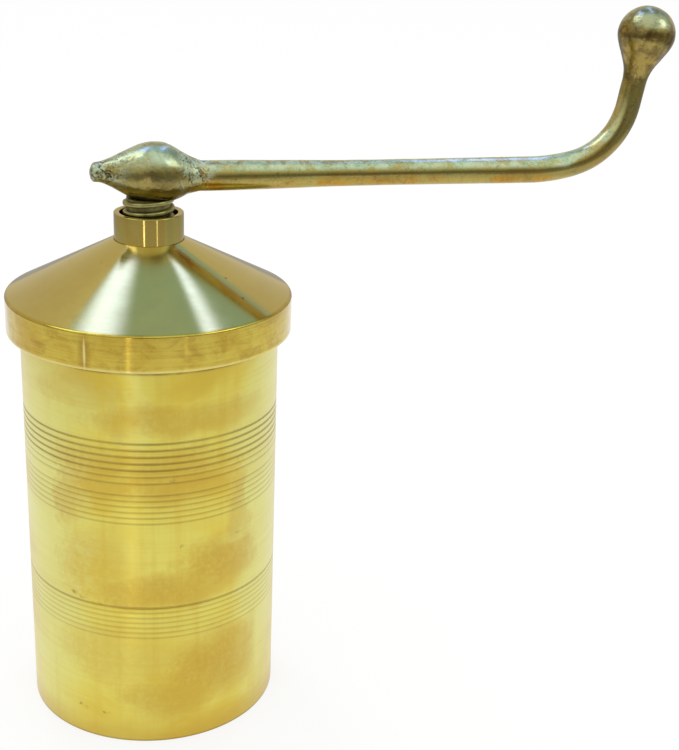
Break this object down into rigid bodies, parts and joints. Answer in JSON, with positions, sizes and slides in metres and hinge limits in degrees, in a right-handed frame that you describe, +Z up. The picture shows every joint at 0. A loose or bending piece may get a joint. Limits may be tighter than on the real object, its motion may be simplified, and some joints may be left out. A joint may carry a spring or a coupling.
{
  "type": "hand cranked sev press",
  "caption": "Upright brass press for sev noodles: grooved barrel over a pierced die, conical cap, and a bent crank whose screw drives a presser down the barrel.",
  "frame": {"origin": "centre of the bottom opening, on the plane that the barrel stands on", "axes": "+Z up along the barrel and the screw, +X along the crank's arm at rest"},
  "size_m": [0.1795, 0.0754, 0.1933],
  "materials": {
    "barrel_brass": "satin turned brass, lightly mottled",
    "cap_brass": "lathe turned brass",
    "screw_brass": "worn threaded brass",
    "crank_brass": "cast and forged brass with patina",
    "plain_brass": "plain machined brass"
  },
  "bodies": {
    "barrel": {"barrel": "barrel_brass", "die_plate": "plain_brass"},
    "cap": {"cap": "cap_brass", "screw_nut": "cap_brass"},
    "presser": {"presser_disc": "plain_brass", "thrust_washer": "plain_brass"},
    "crank": {"screw_spindle": "screw_brass", "retaining_washer": "plain_brass", "retaining_screw": "plain_brass", "crank_hub": "crank_brass", "crank_arm": "crank_brass", "crank_knob": "crank_brass"}
  },
  "joints": [
    {"name": "cap_lift", "type": "slide", "parent": "barrel", "child": "cap", "axis": [0, 0, 1], "range_m": [0, 0.125]},
    {"name": "presser_feed", "type": "slide", "parent": "cap", "child": "presser", "axis": [0, 0, 1], "range_m": [0, 0.1017]},
    {"name": "crank_turn", "type": "hinge", "parent": "presser", "child": "crank", "pos_m": [0, 0, 0.15], "axis": [0, 0, 1], "range_deg": [0, 14400]}
  ],
  "couplings": [
    {"joint": "presser_feed", "follows": "crank_turn", "m_per_rad": 0.00040425}
  ]
}
